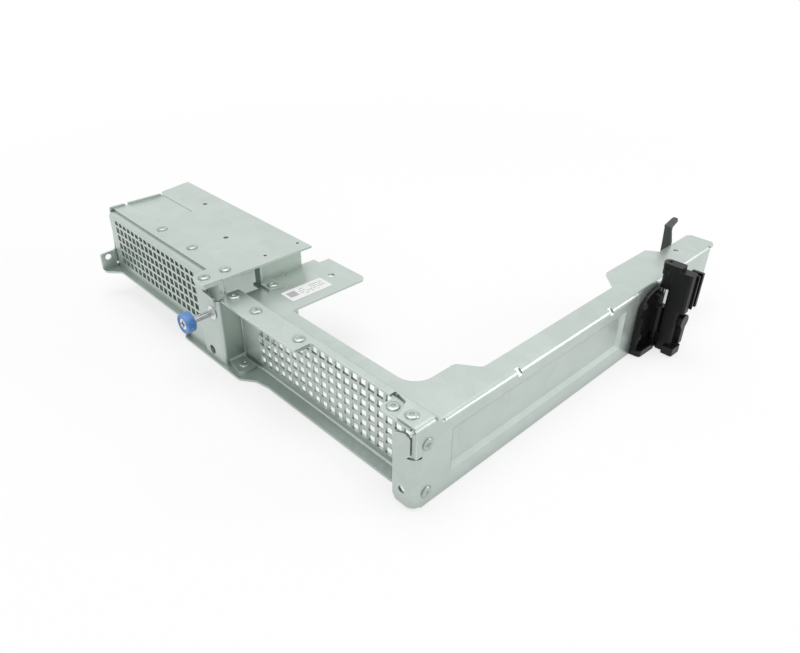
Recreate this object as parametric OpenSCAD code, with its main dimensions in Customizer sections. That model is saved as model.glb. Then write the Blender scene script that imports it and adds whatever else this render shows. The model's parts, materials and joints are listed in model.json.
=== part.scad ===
// Riser cage bracket: an L-shaped sheet-metal frame with a perforated wall,
// a vented card box at one end and a card latch at the other.
//
// Inside the modules x = 0 is the outer face of the side web, y = 0 the front
// plane of the posts and z = 0 the surface it stands on.  at_datum() then puts
// the origin under the middle of the web's thickness, in line with the grille.

/* [Sheet metal] */
// Thickness of every folded sheet
sheet = 1.0; // [0.8:0.1:1.2]
// Outside radius of the ordinary bends
bend_r = 2.0; // [1.6:0.1:2.4]

/* [Frame] */
// Height of the arm's top face above the table
plate_h = 31.15; // [30.5:0.05:32]
// Step up from the plate to the front strip
strip_rise = 2.85; // [2.4:0.05:3.2]
// Length of the arm's top face, from the front plane
arm_len = 199.5; // [196:0.5:206]
// Length of the side web, from the front plane
web_len = 194.4; // [190:0.1:196]
// Distance from the side web to the box's right-hand side
front_len = 108.2; // [107.8:0.1:108.6]
// How far the grille wall is set back from the front plane
wall_set = 10.0; // [9.6:0.1:10.2]

/* [Box] */
// Length of the box along the front
box_len = 95.3; // [94:0.1:98]
// Depth of the box, from the front plane
box_depth = 46.5; // [45:0.5:50]
// Height of the box's top face above the table
box_top = 41.45; // [41:0.05:43]
// Height of the raised floor under the vented part
floor_h = 12.9; // [12:0.1:14]

/* [Perforation] */
// Side of the square holes in the grille wall
grille_hole = 3.2; // [2.8:0.1:3.4]
// Distance between columns of holes in the grille wall
grille_col = 4.38; // [4.3:0.02:4.4]
// Distance between rows of holes in the grille wall
grille_row = 4.46; // [4.3:0.02:4.5]
// Side of the square holes in the vent wall
vent_hole = 2.9; // [2.4:0.1:3.1]
// Distance between holes in the vent wall, both ways
vent_pitch = 3.97; // [3.8:0.01:4]

/* [Thumbscrew] */
// Diameter of the knob
knob_d = 8.4; // [7.6:0.2:9]
// Length of the knob
knob_len = 4.1; // [3.6:0.1:4.4]
// How far the knob's face stands in front of the post
knob_reach = 13.5; // [12:0.5:15]
// Diameter of the screw's shaft
shaft_d = 2.8; // [2.4:0.1:3]
// Height of the screw above the table
screw_z = 24.9; // [24:0.1:26]

/* [Card latch] */
// Front edge of the latch's base on the arm
latch_y = 132.3; // [131:0.1:134]
// Height of the latch's base plate
latch_h = 28.8; // [28:0.1:29]
// Height of the lever's top face above the table
lever_top = 40.6; // [39:0.2:42]
// Diameter of the latch's hinge pin
pin_d = 1.6; // [1.4:0.1:1.8]
// Running clearance around the pin and the screw, on the radius
clearance = 0.05; // [0.02:0.01:0.1]

/* [Rivets] */
// Diameter of the round rivet heads
rivet_head = 4.6; // [4:0.2:5]
// Diameter of the rivet shanks
rivet_shank = 2.6; // [2.2:0.1:2.8]

/* [Hidden] */
$fn = 28;
zinc = [0.78, 0.80, 0.80];
steel = [0.70, 0.71, 0.72];
black = [0.09, 0.10, 0.10];
blue = [0.16, 0.36, 0.78];
white = [0.93, 0.94, 0.95];
e = 0.01;

strip_h = plate_h + strip_rise;
strip_end = -59;
joggle = [wall_set - 0.1, wall_set + 2.85];
box_right = -front_len;
box_left = box_right - box_len;
flange_h = box_top - sheet;
ledge_h = strip_h - sheet;

// Side web: embossed panel, fold to the front corner and rivets
panel = [17, 122, 7.5, 25.7];
panel_depth = 1.2;
panel_slope = 2.0;
corner_r = 3.5;
corner_slit_h = 21.5;
corner_hole = [-5.4, 6.8];
corner_hole_d = 3.0;
web_rivet_at = [[5.8, 26.1], [5.9, 5.6]];
dart_at = [51.4, 110];

// Grille wall
grille_rows = 6;
grille_first = [box_right + 10.3, 4.3];
grille_cols = round((-14.7 - grille_first[0]) / grille_col) + 1;
grille_left = box_right - 1.6;
top_r = bend_r + 0.8;
foot_left = box_right - 33.8;

// Vent wall and its post
vent_rows = 6;
vent_first = [box_left + 8.9, floor_h + 5.1];
vent_cols = round((box_right - 18.9 - vent_first[0]) / vent_pitch) + 1;
vent_left = box_left + 2;
post_left = box_right - 16.1;
post_right = box_right - 2.3;
fold_end = box_right - 12.3;
post_top = 32.0;
post_hole = [box_right - 10.8, 4.7];
post_hole_d = 4.2;
channel_left = box_right - 11.8;
ear_hole = [-4.2, 18.7];
ear_hole_d = 3.0;
screw_x = box_right - 6.2;
ferrule_r = 1.85;
ferrule_flange = 3;
tip_r = shaft_d / 2 - 0.2;

// Pressed area on the cover
pressed_depth = 0.25;

// Rivets, each as its place on the sheets it joins
strip_rivet_at = [[box_right + 3.3, 5.2], [box_right + 18, 5.4], [strip_end - 4.7, 5.6]];
corner_rivet_at = [[-6.5, 5.1], [-14.3, 4.6]];
cover_rivet_at = [
    [box_right - 57.9, 8.6], [box_right - 32.5, 8.7],
    [box_right - 6.1, 8.1], [box_right - 5.8, -1.5]
];
foot_rivet_at = [box_right + 4, 5.6];
end_rivet_at = [box_right + 2.6, 23.8];
latch_rivet_at = [[134.9, 23.6], [135.4, 8.2]];
rivet_rise = 0.7;
rivet_tail = 0.6;

// Latch
pivot = [2.7, 147];
barrel_r = 2.3;
base_t = 1.6;
knuckle_low = [3.3, 7.8];
knuckle_mid = [8.0, 20.0];
knuckle_top = [29, lever_top - 2];
column = [5.2, 14.0, 144.6, 149.4];
waist_x = 11.6;
waist_h = 20.8;
foot_h = 3.6;
pad_z = 15.2;
pad_r = 3.2;
shelf_h = 3.0;
shelf_w = 5.2;
rib_w = 1.1;
rib_rise = 0.9;
stop_h = 7.4;
stop_rise = 2.4;
latch_shank = 2.2;
clip_x = 9.8;
clip_t = 0.7;
clip_gap = 3.2;
clip_z = [21.8, lever_top - 3.2];
hook_y = 182;
hook_t = 1.2;
hook_top = 39.8;

// ---- Helpers ----

// Unit vector along v
function unit(v) = v / norm(v);

// Points of the arc of radius r that rounds corner b between a and c
function corner_arc(a, b, c, r, n) =
    r <= 0 ? [b] :
    let (
        u = unit(a - b),
        w = unit(c - b),
        half = acos(u * w) / 2,
        centre = b + unit(u + w) * r / sin(half),
        p = b + u * r / tan(half) - centre,
        q = b + w * r / tan(half) - centre,
        start = atan2(p[1], p[0]),
        turn = atan2(q[1], q[0]) - start,
        sweep = turn > 180 ? turn - 360 : turn < -180 ? turn + 360 : turn
    )
    [for (i = [0:n]) centre + r * [cos(start + sweep * i / n), sin(start + sweep * i / n)]];

// Outline from corners given as [x, y, radius]
function outline(v, n = 5) =
    let (k = len(v), p = [for (c = v) [c[0], c[1]]])
    [for (i = [0:k - 1]) each corner_arc(p[(i + k - 1) % k], p[i], p[(i + 1) % k], v[i][2], n)];

module at_datum() {
    translate([sheet / 2, -wall_set, 0]) children();
}

// Flat sheet with its underside at height z
module lying(z, t = sheet) {
    translate([0, 0, z]) linear_extrude(t) children();
}

// Sheet standing across the front, from y to y + t, drawn in x and z
module facing_front(y, t = sheet) {
    translate([0, y + t, 0]) rotate([90, 0, 0]) linear_extrude(t) children();
}

// Sheet standing along the side, from x to x + t, drawn in y and z
module facing_side(x, t = sheet) {
    translate([x, 0, 0]) rotate([90, 0, 90]) linear_extrude(t) children();
}

// Quarter of a bend, in the quadrant that a and b point to
module bend_2d(a, b, r = bend_r) {
    intersection() {
        difference() {
            circle(r);
            circle(r - sheet);
        }
        translate([a > 0 ? 0 : -r, b > 0 ? 0 : -r]) square(r);
    }
}

// What rounding takes off a square corner, in the quadrant +x +y
module corner_2d(r) {
    difference() {
        square(r + e);
        circle(r);
    }
}

// Square holes in rows and columns, from the first one's lower left corner
module hole_grid(first, cols, rows, dx, dy, side) {
    for (i = [0:cols - 1], j = [0:rows - 1])
        translate([first[0] + i * dx, first[1] + j * dy]) square(side);
}

// Round holes at a list of places
module holes(places, d) {
    for (p = places) translate([p[0], p[1]]) circle(d = d);
}

// Rivet with a flat-topped round head, its shank and the formed end below
module rivet(grip, tail = rivet_tail) {
    dish = 0.8;
    rotate_extrude()
        polygon([
            [0, -grip - tail], [rivet_shank / 2 + (tail > 0 ? 0.7 : 0), -grip - tail],
            [rivet_shank / 2 + (tail > 0 ? 0.7 : 0), -grip], [rivet_shank / 2, -grip],
            [rivet_shank / 2, 0], [rivet_head / 2, 0], [rivet_head / 2, rivet_rise * 0.3],
            [rivet_head / 2 - 0.25, rivet_rise * 0.75], [rivet_head / 2 - 0.7, rivet_rise],
            [dish, rivet_rise], [dish * 0.7, rivet_rise * 0.45], [0, rivet_rise * 0.45]
        ]);
}

// ---- Main frame: strip, plate, arm and side web from one sheet ----

module frame_outline() {
    polygon(outline([
        [box_right - 1, 4.8, 1], [box_right + 0.4, 1.6, 1.2], [box_right + 8.7, -0.3, 3],
        [strip_end, -0.3, 0.8],
        [strip_end, 7.2, 0.8], [-18.5, 7.2, 0], [-18.5, 9.6, 0], [-17.4, 9.6, 0],
        [-12.6, 8.6, 1], [-9.9, 4, 2], [-9.1, 1.3, 0.5], [0, 1.3, 0],
        [0, arm_len - 2.5, 1], [-1.8, arm_len, 1], [-11.9, arm_len, 1],
        [-13.6, arm_len - 2, 1], [-13.6, 171.4, 0.8], [-17.1, 169.4, 1.5],
        [-18.8, 168, 1], [-19.1, 135.4, 2.5], [-10.35, 126.9, 2.5],
        [-10.35, 43.6, 3], [-18.35, 37.9, 2.5], [-18.35, 18.3, 8],
        [box_right + 22.8, 18.3, 1.2], [box_right + 22.8, 57, 3], [box_right - 2, 57, 0.6],
        [box_right - 2, 51.6, 0.5], [box_right - 5.7, 51.6, 0.5], [box_right - 5.7, 19.6, 0.5],
        [box_right - 0.2, 19.6, 0.5]
    ]));
}

// Section of the top face along the side: strip, joggle and plate
module joggle_section() {
    lean = sheet * 0.404;
    polygon([
        [-2, strip_h], [joggle[0], strip_h], [joggle[1], plate_h],
        [arm_len + 2, plate_h], [arm_len + 2, plate_h - sheet],
        [joggle[1] - lean, plate_h - sheet], [joggle[0] - lean, strip_h - sheet],
        [-2, strip_h - sheet]
    ]);
}

module web_outline() {
    difference() {
        polygon([
            [corner_r, 0], [web_len, 0], [web_len, plate_h], [joggle[1], plate_h],
            [joggle[0], strip_h], [0.8, strip_h], [0.8, corner_slit_h + 1],
            [corner_r, corner_slit_h + 1]
        ]);
        holes(web_rivet_at, rivet_shank);
        holes(latch_rivet_at, latch_shank);
    }
}

// Pressed panel with sloping borders, standing d behind the web's face
module pressed_panel(x, grow) {
    hull() {
        facing_side(x - e, e)
            translate([panel[0] - grow, panel[2] - grow])
                square([panel[1] - panel[0] + 2 * grow, panel[3] - panel[2] + 2 * grow]);
        facing_side(x - panel_depth, e)
            translate([panel[0] + panel_slope - grow, panel[2] + panel_slope - grow])
                square([
                    panel[1] - panel[0] - 2 * (panel_slope - grow),
                    panel[3] - panel[2] - 2 * (panel_slope - grow)
                ]);
    }
}

// Runs a shape along the fold between top and web, down the joggle too
module along_fold(y_end) {
    drop = [joggle[1] - joggle[0], strip_rise];
    translate([0, joggle[1], plate_h]) rotate([90, 0, 0])
        translate([0, 0, joggle[1] - y_end]) linear_extrude(y_end - joggle[1]) children();
    translate([0, joggle[1], plate_h]) rotate([-atan2(drop[1], drop[0]), 0, 0]) rotate([90, 0, 0])
        linear_extrude(norm(drop)) children();
    translate([0, joggle[0], strip_h]) rotate([90, 0, 0])
        linear_extrude(joggle[0] + 1) children();
}

module corner_flange() {
    facing_front(0)
        difference() {
            polygon(outline([
                [-corner_r, 0.7, 0], [-corner_r, corner_slit_h, 0.4],
                [-2.1, corner_slit_h + 1.6, 0.6], [-2.1, 30, 0.8], [-4.7, 30.8, 1.5],
                [-9.6, 28.8, 2], [-9.6, 2.8, 1.2], [-8.1, 0.7, 1]
            ]));
            translate(corner_hole) circle(d = corner_hole_d);
        }
    translate([-corner_r, corner_r, 0.7])
        linear_extrude(corner_slit_h - 0.7) bend_2d(1, -1, corner_r);
}

// Stiffening dents pressed across the fold, as prisms of a half size and a width
module darts(half, width) {
    for (y = dart_at)
        translate([0, y, plate_h]) rotate([0, 45, 0])
            cube([2 * half, width, 2 * half], center = true);
}

module main_frame() {
    color(zinc) at_datum() difference() {
        union() {
            difference() {
                union() {
                    intersection() {
                        facing_side(-150, 151) joggle_section();
                        lying(-1, 60) frame_outline();
                    }
                    facing_side(-sheet) web_outline();
                    pressed_panel(-sheet, 0.3);
                    translate([-sheet, 0, -sheet]) along_fold(web_len)
                        translate([-1, -1]) difference() {
                            square([1 + e, 1 + e]);
                            circle(r = 1);
                        }
                    intersection() {
                        darts(2.5, 3.2);
                        translate([-bend_r - 2, 0, plate_h - bend_r - 2])
                            cube([bend_r + 2, web_len, bend_r + 2]);
                    }
                }
                translate([-bend_r, 0, -bend_r]) along_fold(web_len) corner_2d(bend_r);
                darts(1.5, 2);
                pressed_panel(e, 0);
            }
            corner_flange();
        }
        lying(ledge_h - 1, 3) holes(concat(strip_rivet_at, [corner_rivet_at[0]]), rivet_shank);
        lying(plate_h - 2, 3) {
            holes([end_rivet_at], rivet_shank);
            holes([[box_right + 10.7, 47.8]], 3);
            holes([[box_right - 2.5, 33.6]], 1.6);
            holes([[-9, 178.2]], 2.5);
        }
    }
}

// ---- Grille wall: perforated wall with its ledges, end flange and base ----

module base_outline() {
    polygon(outline([
        [foot_left, -1, 1], [box_right + 9.6, -1, 3], [box_right + 15.6, 3.2, 4], [box_right + 22.2, 4.4, 8],
        [-14.4, 4.6, 1], [-14.4, wall_set - 1, 0], [grille_left, wall_set - 1, 0],
        [grille_left - 3, box_depth - sheet, 0], [foot_left, box_depth - sheet, 0]
    ]));
}

module grille_wall() {
    wall_in = wall_set - bend_r + sheet;
    top_in = wall_set - top_r + sheet;
    inner = -2 * sheet;
    color(zinc) at_datum() {
        facing_front(wall_set)
            difference() {
                translate([grille_left, bend_r])
                    square([inner - bend_r + sheet - grille_left, ledge_h - bend_r - top_r]);
                hole_grid(grille_first, grille_cols, grille_rows, grille_col, grille_row, grille_hole);
            }
        facing_side(grille_left, -14.4 - grille_left)
            translate([wall_in, bend_r]) bend_2d(1, -1);
        difference() {
            lying(0) base_outline();
            lying(-1, 3) holes([foot_rivet_at], rivet_shank);
        }
        for (span = [[grille_left + 1, strip_end - 0.5], [-18, inner - bend_r + sheet]])
            facing_side(span[0], span[1] - span[0])
                translate([top_in, ledge_h - top_r]) bend_2d(1, 1, top_r);
        facing_side(strip_end - 0.5, -18 + 0.5 - strip_end)
            translate([wall_set, ledge_h - top_r - e]) square([sheet, top_r - bend_r + 0.4]);
        difference() {
            lying(ledge_h - sheet) {
                polygon(outline([
                    [grille_left + 1.8, 0.8, 1], [strip_end - 0.6, 0.8, 1],
                    [strip_end - 0.6, top_in, 0], [grille_left + 1.8, top_in, 0]
                ]));
                polygon(outline([
                    [-17.6, 0.8, 2.4], [-3, 0.8, 0.5], [-3, top_in, 0], [-17.6, top_in, 0]
                ]));
            }
            lying(ledge_h - 2, 4) holes(concat(strip_rivet_at, corner_rivet_at), rivet_shank);
        }
        // Fold to the flange that is riveted inside the web
        translate([inner - bend_r + sheet, wall_in, bend_r])
            linear_extrude(ledge_h - bend_r - top_r) bend_2d(1, 1);
        facing_side(inner)
            difference() {
                polygon(outline([
                    [wall_in, bend_r, 0], [wall_in, ledge_h - 1.4, 0],
                    [corner_r + 0.1, ledge_h - 1.4, 0.5], [corner_r + 0.1, 1.6, 0.5],
                    [wall_in - 1, 1.6, 0.4]
                ]));
                holes(web_rivet_at, rivet_shank);
            }
    }
}

// ---- Box ----

// The left end flares outwards behind this point
flare = [[0, 27.5], [-3.3, 30.2], [-4.4, 35.1], [-7, box_depth]];
function end_wall_inner(i) = [box_left + flare[i][0] + sheet, flare[i][1] + (i == 3 ? 0 : 0.4)];

module cover_plan() {
    left = [for (p = flare) [box_left + p[0] + (p[0] < 0 ? 0 : sheet), p[1]]];
    polygon(concat(left, [
        [box_right, box_depth], [box_right, 3.1], [box_left + sheet, 3.1]
    ]));
}

// Floor, open at the back, where the card runs on into the case
module box_tray() {
    back = box_depth - sheet;
    left = [for (i = [0:3]) concat(end_wall_inner(i), [0])];
    color(zinc) at_datum() {
        // Raised floor, with its front edge and the corner under the ear
        lying(floor_h - sheet) intersection() {
            polygon(outline(concat(left, [
                [foot_left + sheet, box_depth, 0], [foot_left + sheet, -2.2, 0.5],
                [box_left + 8.6, -2.2, 3], [box_left + 3, -7.4, 2], [box_left + sheet, -7.4, 0]
            ])));
            translate([box_left - 20, back - 100]) square([200, 100]);
        }
        // Step down to the base, with a foot lying on it
        facing_side(foot_left)
            translate([-0.4, sheet]) square([back + 0.4, floor_h - sheet]);
        lying(sheet) translate([foot_left, 1.4]) square([7, back - 1.4]);
        // Front lip behind the vent wall, between the step and the post
        facing_front(sheet)
            translate([foot_left, sheet]) square([post_left + 1 - foot_left, floor_h + 4]);
    }
}

module vent_wall() {
    in = sheet - bend_r;
    side_in = post_right - bend_r;
    color(zinc) at_datum() {
        difference() {
            union() {
                facing_front(0)
                    difference() {
                        polygon(outline([
                            [vent_left, floor_h, 0], [post_left, floor_h, 1],
                            [post_left, sheet, 0], [side_in, sheet, 0],
                            [side_in, post_top - 1.2, 0], [side_in - 1.2, post_top, 1],
                            [fold_end, post_top + 0.2, 0.6], [fold_end, flange_h - bend_r, 0],
                            [vent_left, flange_h - bend_r, 0]
                        ]));
                        hole_grid(
                            [vent_first[0] - vent_hole / 2, vent_first[1] - vent_hole / 2],
                            vent_cols, vent_rows, vent_pitch, vent_pitch, vent_hole
                        );
                        holes([post_hole], post_hole_d);
                        holes([[screw_x, screw_z]], 2 * ferrule_r);
                    }
                // Fold along the top and the flange under the cover
                facing_side(vent_left, fold_end - vent_left)
                    translate([bend_r, flange_h - bend_r]) bend_2d(-1, 1);
                lying(flange_h - sheet)
                    polygon(outline([
                        [vent_left, bend_r, 0], [fold_end, bend_r, 0], [fold_end, 13, 1.5],
                        [vent_left, 13, 1.5]
                    ]));
                // Fold to the post's side and the foot riveted to the base
                translate([side_in, bend_r, sheet])
                    linear_extrude(post_top - sheet - 1.2) bend_2d(1, -1);
                facing_side(post_right - sheet)
                    polygon(outline([
                        [bend_r, 2 * sheet + 1, 0], [wall_set, 2 * sheet + 1, 0],
                        [wall_set, ledge_h - sheet, 0.5], [bend_r + 3, ledge_h - sheet, 1],
                        [bend_r, post_top - 1.2, 0]
                    ]));
                facing_front(2.2, wall_set - 3.4)
                    translate([post_right + 1, 2 * sheet + 1]) bend_2d(-1, -1);
                lying(sheet)
                    polygon(outline([
                        [post_right + 1, 2.2, 0], [box_right + 7, 0.9, 1], [box_right + 8.4, 3, 1],
                        [box_right + 8.4, 8.8, 1], [post_right + 1, wall_set - 1.2, 0]
                    ]));
            }
            lying(flange_h - 2, 3)
                holes([cover_rivet_at[0], cover_rivet_at[1]], rivet_shank);
            lying(0, 5) holes([foot_rivet_at], rivet_shank);
        }
    }
}

module box_cover() {
    color(zinc) at_datum() difference() {
        union() {
            lying(flange_h) {
                cover_plan();
                polygon(outline([
                    [box_right - 11.4, 4, 0], [box_right - 11.2, 1.8, 1], [box_right - 9.4, -4.4, 1],
                    [box_right - 7.4, -5.4, 1], [box_right - 0.4, -5.4, 0.6], [box_right - 0.4, 4, 0]
                ]));
            }
            // Stiffening lip folded down along the open back
            facing_front(box_depth - sheet)
                translate([box_left - 5, flange_h - 3]) square([box_len, 3 + e]);
        }
        lying(box_top - pressed_depth) polygon(outline([
            [box_left + 1.6, 10.4, 0.6], [box_left + 30.5, 10.4, 2.5],
            [box_left + 30.5, 28.6, 2.5], [box_left + 1.6, 28.6, 0.6]
        ]));
        lying(flange_h - 1, 4) {
            holes(cover_rivet_at, rivet_shank);
            holes([[box_right - 70.3, 37.4], [box_right - 31.3, 24.4]], 2.4);
            holes([[box_right - 6.1, 43.7], [box_right - 5.6, 26.8]], 1.4);
        }
    }
}

module left_end_wall() {
    foot = floor_h - sheet;
    lip = box_top + 0.85;
    outer = [for (p = flare) [box_left + p[0], p[1]]];
    inner = [for (i = [3:-1:0]) end_wall_inner(i)];
    color(zinc) at_datum() {
        difference() {
            facing_side(box_left)
                polygon(outline([
                    [0, foot, 0], [-2, foot - 0.6, 1], [-5.9, 10.7, 1.5], [-7.9, 13, 1.5],
                    [-7.6, 20.9, 1], [0, 21.4, 1.5], [1.7, lip, 0.6], [9.1, lip, 0.6],
                    [9.1, box_top - 1, 0], [10.5, box_top - 1, 0], [10.5, lip, 0.6],
                    [27.5, lip, 0.6], [27.5, flange_h, 0], [27.9, flange_h, 0], [27.9, foot, 0]
                ]));
            facing_side(box_left - 1, 3) {
                holes([ear_hole], ear_hole_d);
                holes([[-0.3, 14.6]], 1.2);
            }
        }
        lying(foot, flange_h - foot) polygon(concat(outer, inner));
    }
}

module inner_panel() {
    x = channel_left - sheet;
    top = flange_h - sheet;
    color(zinc) at_datum() {
        facing_side(x) translate([2.2, sheet]) square([box_depth - 3.2, top - sheet]);
        lying(sheet) translate([x - 6, 5]) square([6 + e, box_depth - 6]);
        lying(top) translate([x, 14]) square([8, box_depth - 15.5]);
    }
}

module end_bracket() {
    x = box_right - 4.8;
    color(zinc) at_datum() difference() {
        union() {
            facing_side(x)
                translate([20.6, plate_h]) square([box_depth - 3 * sheet - 20.6, flange_h - plate_h]);
            facing_front(20.6)
                translate([x, plate_h]) square([box_right - 0.8 - x, flange_h - plate_h]);
            lying(plate_h)
                polygon(outline([
                    [x, 20.6, 0], [box_right + 5.2, 20.6, 1.2], [box_right + 6.4, 26.4, 1],
                    [box_right - 0.8, 26.8, 1], [x, 26.8, 0]
                ]));
        }
        lying(plate_h - 1, 3) holes([end_rivet_at], rivet_shank);
    }
}

module end_post() {
    color(zinc) at_datum() difference() {
        union() {
            lying(flange_h - sheet)
                polygon(outline([
                    [box_right - 11, 12.5, 1], [box_right - 11, 1.8, 1], [box_right - 9.2, -4.2, 1],
                    [box_right - 7.2, -5.1, 1], [box_right - 0.4, -5.1, 0.6], [box_right - 0.4, 12.5, 1]
                ]));
            facing_front(3)
                translate([box_right - 3.4, strip_h]) square([3.2, flange_h - sheet - strip_h + e]);
        }
        lying(flange_h - 2, 4) holes([cover_rivet_at[2], cover_rivet_at[3]], rivet_shank);
    }
}

// ---- Rivets and label ----

module strip_rivet(i) {
    p = strip_rivet_at[i];
    color(steel) at_datum() translate([p[0], p[1], strip_h]) rivet(2 * sheet);
}

module corner_rivet_1() {
    p = corner_rivet_at[0];
    color(steel) at_datum() translate([p[0], p[1], strip_h]) rivet(2 * sheet);
}

module corner_rivet_2() {
    p = corner_rivet_at[1];
    color(steel) at_datum() translate([p[0], p[1], ledge_h]) rivet(sheet);
}

module web_rivet(i) {
    p = web_rivet_at[i];
    color(steel) at_datum() translate([0, p[0], p[1]]) rotate([0, 90, 0]) rivet(2 * sheet);
}

module cover_rivet(i) {
    p = cover_rivet_at[i];
    color(steel) at_datum() translate([p[0], p[1], box_top]) rivet(2 * sheet);
}

module foot_rivet() {
    p = foot_rivet_at;
    color(steel) at_datum() translate([p[0], p[1], 2 * sheet]) rivet(2 * sheet, 0);
}

module end_rivet() {
    p = end_rivet_at;
    color(steel) at_datum() translate([p[0], p[1], plate_h + sheet]) rivet(2 * sheet);
}

module label() {
    color(white) at_datum()
        lying(plate_h, 0.12)
            polygon(outline([
                [box_right + 9.4, 22.7, 0.6], [box_right + 17.9, 22.7, 0.6],
                [box_right + 17.9, 42.8, 0.6], [box_right + 9.4, 42.8, 0.6]
            ]));
}

// ---- Thumbscrew, along the y axis ----

module on_screw_axis(y) {
    translate([screw_x, y, screw_z]) rotate([-90, 0, 0]) children();
}

module screw_ferrule() {
    bore = shaft_d / 2 + clearance;
    color(steel) at_datum() on_screw_axis(-0.3)
        rotate_extrude()
            polygon([
                [bore, 0], [ferrule_flange, 0], [ferrule_flange, 0.3], [ferrule_r, 0.3],
                [ferrule_r, 2.4], [bore, 2.4]
            ]);
}

module screw_collar() {
    bore = shaft_d / 2 + clearance;
    color(steel) at_datum() on_screw_axis(-knob_reach + knob_len + 0.05)
        rotate_extrude()
            polygon([[bore, 0], [2.7, 0], [2.7, 0.7], [2.5, 0.9], [bore, 0.9]]);
}

module thumbscrew_screw() {
    color(steel) at_datum() on_screw_axis(-knob_reach + 0.4)
        difference() {
            rotate_extrude()
                polygon([
                    [0, 0], [2.4, 0], [2.6, 0.2], [2.6, knob_len - 1.2], [shaft_d / 2, knob_len - 1.2],
                    [shaft_d / 2, knob_reach + 2], [tip_r, knob_reach + 2.2],
                    [tip_r, knob_reach + 7], [tip_r - 0.4, knob_reach + 7.8], [0, knob_reach + 7.8]
                ]);
            for (a = [0, 90])
                rotate(a) translate([-1.5, -0.35, -e]) cube([3, 0.7, 1.3]);
        }
}

module thumbscrew_knob() {
    color(blue) at_datum() on_screw_axis(-knob_reach)
        rotate_extrude()
            polygon([
                [2.6, 0], [knob_d / 2 - 0.5, 0], [knob_d / 2, 0.5], [knob_d / 2, knob_len - 0.4],
                [knob_d / 2 - 0.4, knob_len], [shaft_d / 2, knob_len],
                [shaft_d / 2, knob_len - 0.8], [2.6, knob_len - 0.8]
            ]);
}

// ---- Card latch ----

// Short upright cylinder around the latch's hinge
module on_hinge(z, h, r) {
    translate([pivot[0], pivot[1], z]) cylinder(h = h, r = r);
}

module latch_base() {
    notch = pivot[1] - barrel_r - 0.4;
    back = pivot[1] + 3;
    knuckle_h = knuckle_mid[1] - knuckle_mid[0];
    color(black) at_datum() difference() {
        union() {
            facing_side(0, base_t)
                polygon(outline([
                    [latch_y, shelf_h - 1, 0], [notch, shelf_h - 1, 0], [notch, knuckle_mid[0], 0],
                    [back, knuckle_mid[0], 0.5], [back, latch_h, 1], [latch_y + 9.6, latch_h, 3],
                    [latch_y + 4.2, latch_h - 1.6, 3], [latch_y, latch_h - 5.5, 3]
                ]));
            // Shelf along the bottom, which also carries the foot of the pin
            lying(0.2, shelf_h - 0.2) {
                polygon(outline([
                    [0, latch_y, 0], [shelf_w - 0.4, latch_y + 0.5, 1.5], [shelf_w, notch, 0.5],
                    [pivot[0], notch, 0], [pivot[0], pivot[1] + barrel_r, 0],
                    [0, pivot[1] + barrel_r, 0]
                ]));
                translate(pivot) circle(r = barrel_r);
            }
            // Rib down the free edge, and the stop block near the top
            facing_side(0, base_t + rib_rise)
                translate([latch_y, shelf_h - 1]) square([rib_w, latch_h - 9 - shelf_h]);
            translate([base_t - e, latch_y + 8.4, latch_h - stop_h])
                cube([stop_rise, 4.2, stop_h - 1.4]);
            on_hinge(knuckle_mid[0], knuckle_h, barrel_r);
            translate([0, pivot[1] - barrel_r, knuckle_mid[0]])
                cube([pivot[0], 2 * barrel_r, knuckle_h]);
        }
        on_hinge(shelf_h - 1.6, 60, pin_d / 2);
        facing_side(-1, 9) holes(latch_rivet_at, latch_shank);
    }
}

module latch_rivet(i) {
    p = latch_rivet_at[i];
    r = latch_shank / 2;
    foot = -base_t - sheet;
    color(black) at_datum() translate([base_t, p[0], p[1]]) rotate([0, 90, 0])
        rotate_extrude()
            polygon([
                [0, foot - 0.5], [r + 0.5, foot - 0.5], [r + 0.5, foot], [r, foot], [r, 0],
                [1.9, 0], [1.75, 0.45], [1.2, 0.85], [0.6, 1], [0, 1.05]
            ]);
}

module latch_pin() {
    color(steel) at_datum() on_hinge(shelf_h - 1.6, lever_top - shelf_h + 1, pin_d / 2);
}

module latch_lever() {
    bore = pin_d / 2 + clearance;
    side = [column[2], column[3]];
    color(black) at_datum() {
        difference() {
            union() {
                // Column, wider above the waist
                lying(0.6, lever_top - 2.6)
                    polygon(outline([
                        [column[0], side[0], 0.8], [waist_x, side[0], 0.6],
                        [waist_x, side[1], 0.6], [column[0], side[1], 0.8]
                    ]));
                lying(waist_h, lever_top - 2 - waist_h)
                    polygon(outline([
                        [column[0] + 2, side[0], 0], [column[1], side[0], 1],
                        [column[1], side[1], 1], [column[0] + 2, side[1], 0]
                    ]));
                // Knuckles on the pin, the upper one with a ring round its head
                for (k = [knuckle_low, knuckle_top])
                    lying(k[0], k[1] - k[0])
                        translate([pivot[0], side[0] + 0.4]) square([3, 4]);
                on_hinge(knuckle_low[0], knuckle_low[1] - knuckle_low[0], barrel_r);
                on_hinge(knuckle_top[0], knuckle_top[1] - knuckle_top[0], barrel_r - 0.4);
                on_hinge(knuckle_top[1] - 3.4, 2.6, barrel_r + 0.1);
            }
            on_hinge(-1, 50, bore);
        }
        // Foot under the column, the block behind it and the finger pad
        lying(0.4, foot_h)
            polygon(outline([
                [column[1] - 5, side[0] - 1.6, 0.5], [column[1], side[0] - 1.6, 0.8],
                [column[1] + 0.2, side[1] + 0.6, 0.8], [column[1] - 5, side[1] + 0.6, 0.5]
            ]));
        translate([waist_x - 3, side[1] - 1, foot_h + 1]) cube([5, 2.8, pad_z - 4.6]);
        translate([waist_x - 3, side[1] + 0.2, pad_z])
            rotate([0, 90, 0]) cylinder(h = 5, r = pad_r);
    }
}

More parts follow.
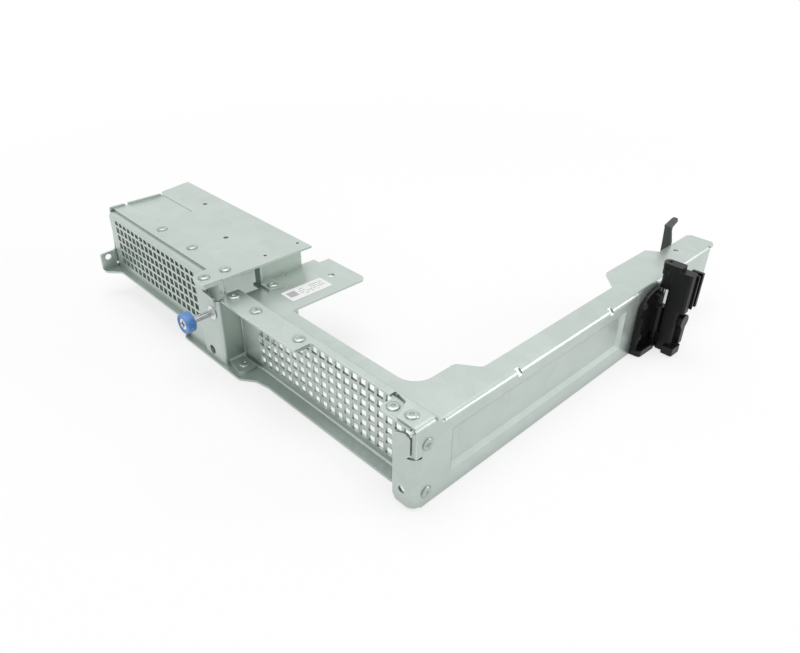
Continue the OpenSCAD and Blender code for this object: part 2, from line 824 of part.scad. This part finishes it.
module latch_cap() {
    y = [column[2], column[3]];
    color(black) at_datum()
        difference() {
            lying(lever_top - 2, 2)
                polygon(outline([
                    [0.4, y[0] - 0.3, 2], [9.2, y[0] - 0.3, 1], [9.2, y[1] - 0.1, 1],
                    [0.4, y[1] - 0.1, 2]
                ]));
            on_hinge(30, 20, pin_d / 2 + clearance);
        }
}

// Spring clip that stands behind the column, open at its outer edge
module latch_clip() {
    y = column[3];
    right = column[1] + 0.8;
    color(black) at_datum()
        lying(clip_z[0], clip_z[1] - clip_z[0])
            polygon([
                [clip_x, y], [right, y], [right, y + clip_t], [clip_x + clip_t, y + clip_t],
                [clip_x + clip_t, y + clip_gap], [right, y + clip_gap],
                [right, y + clip_gap + 2 * clip_t], [clip_x, y + clip_gap + 2 * clip_t]
            ]);
}

module release_hook() {
    t = hook_t;
    tip = [-18.4, -15];
    color(black) at_datum() {
        facing_front(hook_y, t)
            polygon(outline([
                [-sheet - t, 12, 0], [-sheet - t, 26, 0], [-13.8, 27.5, 1], [-13.8, 32.2, 1],
                [tip[1], 37.5, 2], [tip[1], hook_top, 0], [tip[0], hook_top, 0], [-17.9, 31, 2],
                [-17.7, 26, 2], [-14, 16, 3], [-6, 12, 2]
            ]));
        // Tab bent back at the tip, rising a little
        translate([0, hook_y, hook_top - t]) rotate([22, 0, 0])
            linear_extrude(t)
                polygon(outline([
                    [tip[0], 0, 0], [tip[1], 0, 0], [tip[1] - 0.1, 6.6, 1], [tip[0] + 0.6, 6.6, 1]
                ]));
        facing_side(-sheet - t, t) translate([hook_y, 12]) square([9, 14]);
    }
}

main_frame();
grille_wall();
box_tray();
vent_wall();
box_cover();
left_end_wall();
inner_panel();
end_bracket();
end_post();
strip_rivet(0);  // strip_rivet_1
strip_rivet(1);  // strip_rivet_2
strip_rivet(2);  // strip_rivet_3
corner_rivet_1();
corner_rivet_2();
web_rivet(0);  // web_rivet_1
web_rivet(1);  // web_rivet_2
cover_rivet(0);  // cover_rivet_1
cover_rivet(1);  // cover_rivet_2
cover_rivet(2);  // cover_rivet_3
cover_rivet(3);  // cover_rivet_4
foot_rivet();
end_rivet();
label();
screw_ferrule();
screw_collar();
thumbscrew_screw();
thumbscrew_knob();
latch_base();
latch_rivet(0);  // latch_rivet_1
latch_rivet(1);  // latch_rivet_2
latch_pin();
latch_lever();
latch_cap();
latch_clip();
release_hook();
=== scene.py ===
import json
import math

import bmesh
import bpy
from mathutils import Matrix, Vector


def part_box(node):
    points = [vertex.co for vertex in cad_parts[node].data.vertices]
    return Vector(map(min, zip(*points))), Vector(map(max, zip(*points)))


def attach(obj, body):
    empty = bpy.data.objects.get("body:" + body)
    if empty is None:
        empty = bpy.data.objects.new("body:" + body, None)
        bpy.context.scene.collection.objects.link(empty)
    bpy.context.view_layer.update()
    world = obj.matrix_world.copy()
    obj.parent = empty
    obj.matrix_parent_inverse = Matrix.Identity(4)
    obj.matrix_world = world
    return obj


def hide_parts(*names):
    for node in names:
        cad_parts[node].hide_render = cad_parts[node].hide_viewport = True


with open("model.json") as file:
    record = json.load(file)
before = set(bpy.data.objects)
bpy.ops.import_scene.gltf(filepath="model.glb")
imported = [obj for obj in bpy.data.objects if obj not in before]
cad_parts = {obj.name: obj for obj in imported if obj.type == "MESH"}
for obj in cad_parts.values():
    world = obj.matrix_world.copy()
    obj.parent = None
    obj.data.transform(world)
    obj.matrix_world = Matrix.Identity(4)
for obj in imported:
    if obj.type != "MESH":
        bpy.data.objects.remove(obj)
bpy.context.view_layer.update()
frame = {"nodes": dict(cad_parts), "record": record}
nodes = frame["nodes"]
print("frame loaded:", len(nodes), "nodes")

mm = 1000  # from metres


# ---- camera ----

cameraSettings = {
    "place": (0.10769, -0.1230, 0.16957),
    "azimuth": 45.689,
    "elevation": 32.50,
    "roll": 0.708,
    "lens": 31.146,
    "shift": (0.00455, 0.00261),
    "clip": (0.01, 20),
}


def addCamera(s):
    az = math.radians(s["azimuth"])
    el = math.radians(s["elevation"])
    roll = math.radians(s["roll"])
    ahead = Vector((-math.sin(az) * math.cos(el), math.cos(az) * math.cos(el), -math.sin(el)))
    side = Vector((math.cos(az), math.sin(az), 0))
    top = side.cross(ahead)
    across = side * math.cos(roll) + top * math.sin(roll)
    upward = top * math.cos(roll) - side * math.sin(roll)
    data = bpy.data.cameras.new("camera")
    data.lens = s["lens"]
    data.shift_x, data.shift_y = s["shift"]
    data.clip_start, data.clip_end = s["clip"]
    camera = bpy.data.objects.new("camera", data)
    bpy.context.scene.collection.objects.link(camera)
    camera.matrix_world = Matrix.Translation(s["place"]) @ Matrix(
        [(across[i], upward[i], -ahead[i]) for i in range(3)]
    ).to_4x4()
    bpy.context.scene.camera = camera


addCamera(cameraSettings)
print("camera placed")


# ---- shader maths ----


class Wire:
    def __init__(self, paint, socket):
        self.paint = paint
        self.socket = socket

    def maths(self, operation, *values):
        return self.paint.node("ShaderNodeMath", {"operation": operation}, dict(enumerate(values)))

    def __add__(self, other):
        return self.maths("ADD", self, other)

    def __sub__(self, other):
        return self.maths("SUBTRACT", self, other)

    def __rsub__(self, other):
        return self.maths("SUBTRACT", other, self)

    def __mul__(self, other):
        return self.maths("MULTIPLY", self, other)

    def __truediv__(self, other):
        return self.maths("DIVIDE", self, other)

    __radd__ = __add__
    __rmul__ = __mul__

    def between(self, low, high):  # 0 below low, 1 above high, smooth
        return self.paint.node(
            "ShaderNodeMapRange",
            {"interpolation_type": "SMOOTHSTEP", "clamp": True},
            {"Value": self, "From Min": low, "From Max": high},
        )


maskLook = {"edgeSpan": (0.02, 0.22), "edgeSamples": 4, "nookSamples": 6}


class Paint:
    def __init__(self, name):
        self.material = bpy.data.materials.new(name)
        self.material.use_nodes = True
        self.tree = self.material.node_tree
        self.surface = self.tree.nodes["Principled BSDF"]
        self.place = self.node("ShaderNodeTexCoord", output="Object")

    def node(self, kind, settings=None, values=None, output=0):
        made = self.tree.nodes.new(kind)
        for key, value in (settings or {}).items():
            setattr(made, key, value)
        for key, value in (values or {}).items():
            self.join(made.inputs[key], value)
        return Wire(self, made.outputs[output])

    def join(self, socket, value):
        if isinstance(value, Wire):
            self.tree.links.new(value.socket, socket)
        elif socket.type == "RGBA" and len(value) == 3:
            socket.default_value = (*value, 1)
        else:
            socket.default_value = value

    def vectors(self, operation, first, second):
        return self.node(
            "ShaderNodeVectorMath", {"operation": operation}, {0: first, 1: second}, "Value"
        )

    def stretched(self, size, turn=(0, 0, 0)):
        return self.node(
            "ShaderNodeMapping", {}, {"Vector": self.place, "Scale": size, "Rotation": turn}
        )

    def noise(self, scale, detail, rough, at=None):
        return self.node(
            "ShaderNodeTexNoise", {},
            {"Vector": at or self.place, "Scale": scale, "Detail": detail, "Roughness": rough},
        )

    def cells(self, scale):
        return self.node(
            "ShaderNodeTexVoronoi", {"feature": "F1"},
            {"Vector": self.place, "Scale": scale}, "Color",
        )

    def axis(self, name, source=None):
        return self.node("ShaderNodeSeparateXYZ", {}, {"Vector": source or self.place}, name)

    def blended(self, share, first, second):
        return self.node(
            "ShaderNodeMix", {"data_type": "RGBA"}, {0: share, 6: first, 7: second}, 2
        )

    def bumped(self, height, strength, distance):
        return self.node(
            "ShaderNodeBump", {}, {"Height": height, "Strength": strength, "Distance": distance}
        )

    def edges(self, radius):  # 1 on sharp edges and tight folds, 0 on flat faces
        soft = self.node(
            "ShaderNodeBevel", {"samples": maskLook["edgeSamples"]}, {"Radius": radius}
        )
        flat = self.node("ShaderNodeNewGeometry", output="Normal")
        return (1 - self.vectors("DOT_PRODUCT", soft, flat)).between(*maskLook["edgeSpan"])

    def nooks(self, reach):  # 1 in the open, lower in corners and under laps
        return self.node(
            "ShaderNodeAmbientOcclusion",
            {"samples": maskLook["nookSamples"]}, {"Distance": reach}, "AO",
        )

    def finish(self, colour, **sockets):
        self.join(self.surface.inputs["Base Color"], colour)
        for name, value in sockets.items():
            self.join(self.surface.inputs[name.capitalize()], value)
        return self.material


# ---- materials ----
# noises are given as scale, detail, roughness

zincLook = {
    "light": (0.61, 0.68, 0.635),
    "dark": (0.44, 0.50, 0.47),
    # painted shade colour, laid into corners and under laps
    "cornerShade": (0.20, 0.235, 0.215),
    # painted highlight colour for edges and folds
    "edge": (0.90, 0.95, 0.92),
    "metallic": 0.80,
    "roughness": 0.34,
    "spangle": 170,
    "cloud": (28, 3, 0.55),
    "grain": (2600, 2, 0.6),
    "rolled": (900, 2, 0.5),
    "rollStretch": (0.05, 1, 1),
    "scuff": (60, 3, 0.6),
    "scuffStretch": (1, 9, 1),
    "scuffTurn": (0, 0, 0.6),
    "scuffSpan": (0.63, 0.74),
    "rub": (35, 4, 0.65),
    "rubSpan": (0.58, 0.72),
    "shade": {"cloud": 0.5, "grain": 0.55, "spangle": 0.16, "rolled": 0.2},
    "tone": {"shift": 0.45, "scuff": 0.12, "span": (-0.3, 1.2)},
    # painted highlight along edges and folds, stronger where the rub noise is high
    "edgeLight": {"radius": 0.0005, "least": 0.6, "rub": 0.4},
    # painted shade: how far corners are darkened and how strongly
    "deep": {"reach": 0.006, "share": 0.6},
    "rough": {"grain": 0.16, "cloud": 0.14, "scuff": 0.08, "rub": 0.05, "litEdges": 0.08},
    "relief": {"grain": 0.6, "rolled": 0.3, "spangle": 0.2, "rings": 1.6},
    "bump": (0.12, 0.0002),
}

coverMarks = {
    "places": [(-0.1583, 0.0081), (-0.1647, 0.0312), (-0.1335, 0.0319), (-0.1258, 0.0080)],
    "inner": (3.5, 3.9),
    "outer": (4.1, 4.5),
}


def pressedRings(p, s, height):  # faint round marks pressed into the cover
    rings = 0
    for x, y in s["places"]:
        away = p.vectors("DISTANCE", p.place, (x, y, height)) * mm
        rings = away.between(*s["inner"]) * (1 - away.between(*s["outer"])) + rings
    return rings


def zincSheet(s, name="zincSheet", marks=None):
    p = Paint(name)
    shade, tone, edgeLight, deep = s["shade"], s["tone"], s["edgeLight"], s["deep"]
    rough, relief = s["rough"], s["relief"]
    spangle = p.axis("X", p.cells(s["spangle"]))
    cloud = p.noise(*s["cloud"])
    grain = p.noise(*s["grain"])
    rolled = p.noise(*s["rolled"], p.stretched(s["rollStretch"]))
    scuffPlace = p.stretched(s["scuffStretch"], s["scuffTurn"])
    scuff = p.noise(*s["scuff"], scuffPlace).between(*s["scuffSpan"])
    rub = p.noise(*s["rub"]).between(*s["rubSpan"])
    mottle = (
        (cloud - 0.5) * shade["cloud"] + (grain - 0.5) * shade["grain"]
        + (spangle - 0.5) * shade["spangle"] + (rolled - 0.5) * shade["rolled"]
    )
    pale = (mottle + tone["shift"] - scuff * tone["scuff"]).between(*tone["span"])
    # painted highlight: edges and tight folds are lightened, more where the rub noise is high
    litEdges = p.edges(edgeLight["radius"]) * (edgeLight["least"] + rub * edgeLight["rub"])
    # painted shade: ambient occlusion darkens the sheet colour in corners, folds and under laps
    shadeMask = (1 - p.nooks(deep["reach"])) * deep["share"]
    sheet = p.blended(litEdges, p.blended(pale, s["dark"], s["light"]), s["edge"])
    roughness = (
        s["roughness"] + (grain - 0.5) * rough["grain"] + (cloud - 0.5) * rough["cloud"]
        + scuff * rough["scuff"] - rub * rough["rub"] - litEdges * rough["litEdges"]
    )
    height = grain * relief["grain"] + rolled * relief["rolled"] + spangle * relief["spangle"]
    if marks:
        height = height - pressedRings(p, marks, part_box("box_cover")[1].z) * relief["rings"]
    return p.finish(
        colour=p.blended(shadeMask, sheet, s["cornerShade"]), roughness=roughness, metallic=s["metallic"],
        normal=p.bumped(height, *s["bump"]),
    )


steelLook = {
    "rivet": {"light": (0.52, 0.58, 0.55), "dark": (0.24, 0.28, 0.26), "roughness": 0.34},
    "turned": {"light": (0.80, 0.82, 0.82), "dark": (0.60, 0.62, 0.62), "roughness": 0.22},
    "metallic": 0.95,
    "grain": (3200, 2, 0.6),
    "stain": (420, 3, 0.6),
    "stainSpan": (0.45, 0.75),
    "turning": (5200, 1, 0.5),
    "turnStretch": (0.2, 1, 0.2),
    # the last two tone values set painted shade in tight corners
    "tone": {"shift": 0.45, "grain": 0.5, "stain": 0.45, "cornerShade": 0.7, "reach": 0.002},
    "rough": {"grain": 0.2, "stain": 0.15},
    "relief": 0.5,
    "bump": (0.06, 0.0001),
}


def steel(name, s, kind):
    p = Paint(name)
    tint, tone, rough = s[kind], s["tone"], s["rough"]
    grain = p.noise(*s["grain"])
    stain = p.noise(*s["stain"]).between(*s["stainSpan"])
    # painted shade: ambient occlusion darkens the colour in tight corners
    shadeMask = 1 - p.nooks(tone["reach"])
    pale = grain * tone["grain"] + tone["shift"] - stain * tone["stain"] - shadeMask * tone["cornerShade"]
    turning = p.noise(*s["turning"], p.stretched(s["turnStretch"]))
    return p.finish(
        colour=p.blended(pale.between(0, 1), tint["dark"], tint["light"]), metallic=s["metallic"],
        roughness=tint["roughness"] + (grain - 0.5) * rough["grain"] + stain * rough["stain"],
        normal=p.bumped(grain * s["relief"] + turning * s["relief"], *s["bump"]),
    )


blueLook = {
    "deep": (0.055, 0.17, 0.46),
    "bright": (0.15, 0.33, 0.66),
    # painted highlight colour for edges and the rim
    "edge": (0.36, 0.55, 0.82),
    "roughness": 0.38,
    "flow": (240, 3, 0.6),
    "flowSpan": (0.3, 0.75),
    "grain": (4200, 2, 0.6),
    "grainRough": 0.25,
    "edgeRadius": 0.0005,
    "edgeShare": 0.7,
    "bump": (0.2, 0.0001),
}


def bluePlastic(s):
    p = Paint("bluePlastic")
    flow = p.noise(*s["flow"]).between(*s["flowSpan"])
    grain = p.noise(*s["grain"])
    body = p.blended(flow, s["deep"], s["bright"])
    return p.finish(
        # painted highlight: edges and the rim are lightened
        colour=p.blended(p.edges(s["edgeRadius"]) * s["edgeShare"], body, s["edge"]),
        roughness=s["roughness"] + (grain - 0.5) * s["grainRough"],
        normal=p.bumped(grain, *s["bump"]),
    )


blackLook = {
    # the edge colour of each kind is a painted highlight along edges
    "plastic": {
        "low": (0.004, 0.0045, 0.0042), "high": (0.012, 0.014, 0.013), "edge": (0.07, 0.08, 0.075),
        "roughness": 0.36, "gloss": 0.28, "grain": (2200, 3, 0.65),
    },
    "painted": {
        "low": (0.035, 0.042, 0.038), "high": (0.062, 0.074, 0.067), "edge": (0.16, 0.18, 0.17),
        "roughness": 0.42, "gloss": 0.5, "grain": (3000, 3, 0.65),
    },
    "dust": (90, 4, 0.65),
    "dustSpan": (0.5, 0.8),
    "tone": {"shift": 0.4, "grain": 0.8, "dust": 0.45},
    # painted highlight along edges, stronger where the dust noise is high
    "edgeLight": {"radius": 0.0004, "least": 0.35, "dust": 0.4},
    "rough": {"grain": 0.3, "dust": 0.1},
    "bump": (0.25, 0.00015),
}


def blackFinish(name, s, kind):
    p = Paint(name)
    tint, tone, edgeLight, rough = s[kind], s["tone"], s["edgeLight"], s["rough"]
    grain = p.noise(*tint["grain"])
    dust = p.noise(*s["dust"]).between(*s["dustSpan"])
    pale = (grain - tone["shift"]) * tone["grain"] + dust * tone["dust"]
    p.surface.inputs["Specular IOR Level"].default_value = tint["gloss"]
    # painted highlight: edges are lightened, more where the dust noise is high
    litEdges = p.edges(edgeLight["radius"]) * (edgeLight["least"] + dust * edgeLight["dust"])
    body = p.blended(pale.between(0, 1), tint["low"], tint["high"])
    return p.finish(
        colour=p.blended(litEdges, body, tint["edge"]),
        roughness=tint["roughness"] + (grain - 0.5) * rough["grain"] + dust * rough["dust"],
        normal=p.bumped(grain, *s["bump"]),
    )


labelLook = {  # lengths in mm, from the label's lower left corner
    "paper": (0.84, 0.855, 0.85),
    "shade": (0.76, 0.775, 0.77),
    "ink": (0.10, 0.10, 0.11),
    "fibre": (1500, 3, 0.6),
    "fibreSpan": (0.3, 0.8),
    "lane": 1.45,
    "line": (0.35, 0.68, 0.06),
    "dash": (650, 1, 0.5),
    "dashStretch": (0.9, 1, 1),
    "dashSpan": (0.44, 0.50),
    "barSide": 0.8,
    "barFoot": 6.4,
    "barHead": 1.2,
    "barShare": 0.75,
    "patchX": (1.6, 5.8),
    "patchY": (1.2, 5.4),
    "patchShare": 0.55,
    "roughness": 0.45,
    "fibreRough": 0.2,
    "bump": (0.1, 0.0001),
}


def within(value, low, high, soft=0.1):
    return value.between(low, low + soft) * (1 - value.between(high - soft, high))


def labelFilm(s):  # plain bars and a grey patch, nothing to read
    p = Paint("labelFilm")
    fibre = p.noise(*s["fibre"])
    low, high = (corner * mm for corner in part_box("label"))
    x, y = p.axis("X") * mm, p.axis("Y") * mm
    lane = (x - low.x) / s["lane"]
    lines = within(lane.maths("FRACT", lane), *s["line"])
    dashes = p.noise(*s["dash"], p.stretched(s["dashStretch"])).between(*s["dashSpan"])
    inBars = (
        within(x, low.x + s["barSide"], high.x - s["barSide"])
        * within(y, low.y + s["barFoot"], high.y - s["barHead"])
    )
    patch = (
        within(x, *(low.x + end for end in s["patchX"]))
        * within(y, *(low.y + end for end in s["patchY"])) * s["patchShare"]
    )
    paper = p.blended(fibre.between(*s["fibreSpan"]), s["shade"], s["paper"])
    return p.finish(
        colour=p.blended(lines * dashes * inBars * s["barShare"] + patch, paper, s["ink"]),
        roughness=s["roughness"] + (fibre - 0.5) * s["fibreRough"],
        normal=p.bumped(fibre, *s["bump"]),
    )


finishes = {
    "zinc_sheet": zincSheet(zincLook),
    "rivet_steel": steel("rivetSteel", steelLook, "rivet"),
    "turned_steel": steel("turnedSteel", steelLook, "turned"),
    "blue_plastic": bluePlastic(blueLook),
    "black_plastic": blackFinish("blackPlastic", blackLook, "plastic"),
    "black_steel": blackFinish("blackSteel", blackLook, "painted"),
    "label_film": labelFilm(labelLook),
}
ownFinishes = {
    "box_cover": zincSheet(zincLook, "zincCover", coverMarks),
    "latch_rivet_1": finishes["black_plastic"],
    "latch_rivet_2": finishes["black_plastic"],
}
slotOf = {part["node"]: part["material_slot"] for part in frame["record"]["subparts"]}


def coverNodes():
    for name, piece in nodes.items():
        look = ownFinishes.get(name, finishes[slotOf[name]])
        if not piece.material_slots:
            piece.data.materials.append(look)
        for holder in piece.material_slots:
            holder.material = look


coverNodes()
print("materials made")


# ---- knob with a ribbed grip ----

knobLook = {
    "ribs": 28,
    "ribDepth": 0.00016,
    "steps": 168,
    "rim": 0.00055,
    "lip": 0.0004,
    "corner": 0.3,  # how far in the rim's and lip's middle sits
    "dish": 0.0005,
    "ease": (0.0003, 0.0001),
    "crown": 0.00005,
    "land": 0.0002,
    "backBore": 0.65,
    "backSteps": (0.0006, 0.0008),
    "slack": 0.00001,
    "weld": 0.000001,
}


def addKnob(s):
    low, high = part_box("thumbscrew_knob")
    centre = (low + high) / 2
    outer = (high.x - low.x) / 2
    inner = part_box("thumbscrew_screw")[1].x - centre.x
    length = high.y - low.y
    rim, lip, corner, land = s["rim"], s["lip"], s["corner"], s["land"]
    easeIn, easeDown = s["ease"]
    backBore = inner * s["backBore"]
    firstStep, lastStep = s["backSteps"]
    profile = [
        (inner, s["dish"]), (inner + easeIn, easeDown),
        (outer - rim - easeIn, 0), (outer - rim, s["crown"]),
        (outer - rim * corner, rim * corner), (outer, rim),
        (outer, rim + land), (outer, length - lip - land),
        (outer, length - lip), (outer - lip * corner, length - lip * corner),
        (outer - lip, length), (backBore, length),
        (backBore, length - firstStep), (inner, length - lastStep),
    ]
    shape = bmesh.new()
    ring = [shape.verts.new((r, y, 0)) for r, y in profile]
    edges = [shape.edges.new(pair) for pair in zip(ring, ring[1:] + ring[:1])]
    bmesh.ops.spin(
        shape, geom=ring + edges, cent=(0, 0, 0), axis=(0, 1, 0),
        angle=math.tau, steps=s["steps"], use_merge=True,
    )
    for vert in shape.verts:
        reach = math.hypot(vert.co.x, vert.co.z)
        if reach > outer - s["slack"] and rim < vert.co.y < length - lip:
            turn = math.atan2(vert.co.z, vert.co.x)
            share = 1 - s["ribDepth"] / outer * (0.5 - 0.5 * math.cos(turn * s["ribs"])) ** 2
            vert.co.x *= share
            vert.co.z *= share
    bmesh.ops.remove_doubles(shape, verts=shape.verts, dist=s["weld"])
    bmesh.ops.recalc_face_normals(shape, faces=shape.faces)
    bmesh.ops.translate(shape, verts=shape.verts, vec=(centre.x, low.y, centre.z))
    mesh = bpy.data.meshes.new("ribbedKnob")
    shape.to_mesh(mesh)
    shape.free()
    for face in mesh.polygons:
        face.use_smooth = True
    mesh.materials.append(finishes["blue_plastic"])
    knob = bpy.data.objects.new("ribbedKnob", mesh)
    bpy.context.scene.collection.objects.link(knob)
    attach(knob, "thumbscrew")
    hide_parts("thumbscrew_knob")


addKnob(knobLook)
print("knob made")


# ---- floor and light ----

floorLook = {
    "halfSide": 4,
    "drop": 0.0003,
    "pale": 0.92,
    "spread": 0.01,
    "cloud": (3, 2, 0.5),
    "roughness": 0.9,
    "seen": 0.72,
    "middle": (-0.1, 0.09, 0),
    "fade": (0.2, 0.45),
}

lightSettings = {
    "world": 0.56,
    "lamps": [
        # name, place, aimed at, size, watts
        ("overheadSoftbox", (-0.15, 0.1, 1.1), (-0.05, 0.05, 0), 0.9, 6.0),
        ("frontSoftbox", (0.25, -0.85, 0.6), (-0.05, 0.05, 0.02), 0.6, 1.0),
        ("farSoftbox", (0.75, 0.95, 0.5), (-0.02, 0.08, 0.02), 0.35, 2.6),
    ],
}


def addFloor(s):
    mesh = bpy.data.meshes.new("floor")
    shape = bmesh.new()
    bmesh.ops.create_grid(shape, x_segments=1, y_segments=1, size=s["halfSide"])
    shape.to_mesh(mesh)
    shape.free()
    floor = bpy.data.objects.new("floor", mesh)
    bpy.context.scene.collection.objects.link(floor)
    floor.location.z = -s["drop"]
    p = Paint("paleFloor")
    pale, spread = s["pale"], s["spread"]
    colour = p.blended(p.noise(*s["cloud"]), (pale - spread,) * 3, (pale + spread,) * 3)
    p.finish(colour=colour, roughness=s["roughness"])
    rays = [
        p.node("ShaderNodeLightPath", output=name)
        for name in ("Is Camera Ray", "Is Glossy Ray", "Is Transmission Ray")
    ]
    seen = rays[0].maths("MAXIMUM", rays[0], rays[1].maths("MAXIMUM", rays[1], rays[2]))
    away = p.vectors("DISTANCE", p.place, s["middle"])
    share = away.between(*s["fade"]) * (1 - s["seen"]) + s["seen"]
    white = p.node("ShaderNodeEmission", {}, {"Color": (1, 1, 1), "Strength": 1.0})
    lit = Wire(p, p.surface.outputs[0])
    mixed = p.node("ShaderNodeMixShader", {}, {0: seen * share, 1: lit, 2: white})
    p.tree.links.new(mixed.socket, p.tree.nodes["Material Output"].inputs["Surface"])
    mesh.materials.append(p.material)


def addWorld(s):  # lights with "world", looks white where it is seen or mirrored
    world = bpy.data.worlds.new("studio")
    bpy.context.scene.world = world
    world.use_nodes = True
    tree = world.node_tree
    tree.nodes.clear()
    rays = tree.nodes.new("ShaderNodeLightPath").outputs

    def larger(first, second):
        picked = tree.nodes.new("ShaderNodeMath")
        picked.operation = "MAXIMUM"
        tree.links.new(first, picked.inputs[0])
        tree.links.new(second, picked.inputs[1])
        return picked.outputs[0]

    def background(strength):
        made = tree.nodes.new("ShaderNodeBackground")
        made.inputs["Color"].default_value = (1, 1, 1, 1)
        made.inputs["Strength"].default_value = strength
        return made.outputs[0]

    mirrored = larger(rays["Is Glossy Ray"], rays["Is Transmission Ray"])
    mix = tree.nodes.new("ShaderNodeMixShader")
    out = tree.nodes.new("ShaderNodeOutputWorld")
    tree.links.new(larger(rays["Is Camera Ray"], mirrored), mix.inputs[0])
    tree.links.new(background(s["world"]), mix.inputs[1])
    tree.links.new(background(1), mix.inputs[2])
    tree.links.new(mix.outputs[0], out.inputs["Surface"])


def addLamps(s):
    for name, place, target, size, watts in s["lamps"]:
        data = bpy.data.lights.new(name, "AREA")
        data.shape = "DISK"
        data.size = size
        data.energy = watts
        lamp = bpy.data.objects.new(name, data)
        bpy.context.scene.collection.objects.link(lamp)
        aim = (Vector(target) - Vector(place)).to_track_quat("-Z", "Y")
        lamp.matrix_world = Matrix.Translation(place) @ aim.to_matrix().to_4x4()


addFloor(floorLook)
addWorld(lightSettings)
addLamps(lightSettings)
bpy.context.scene.view_settings.view_transform = "Standard"
print("floor and light made")
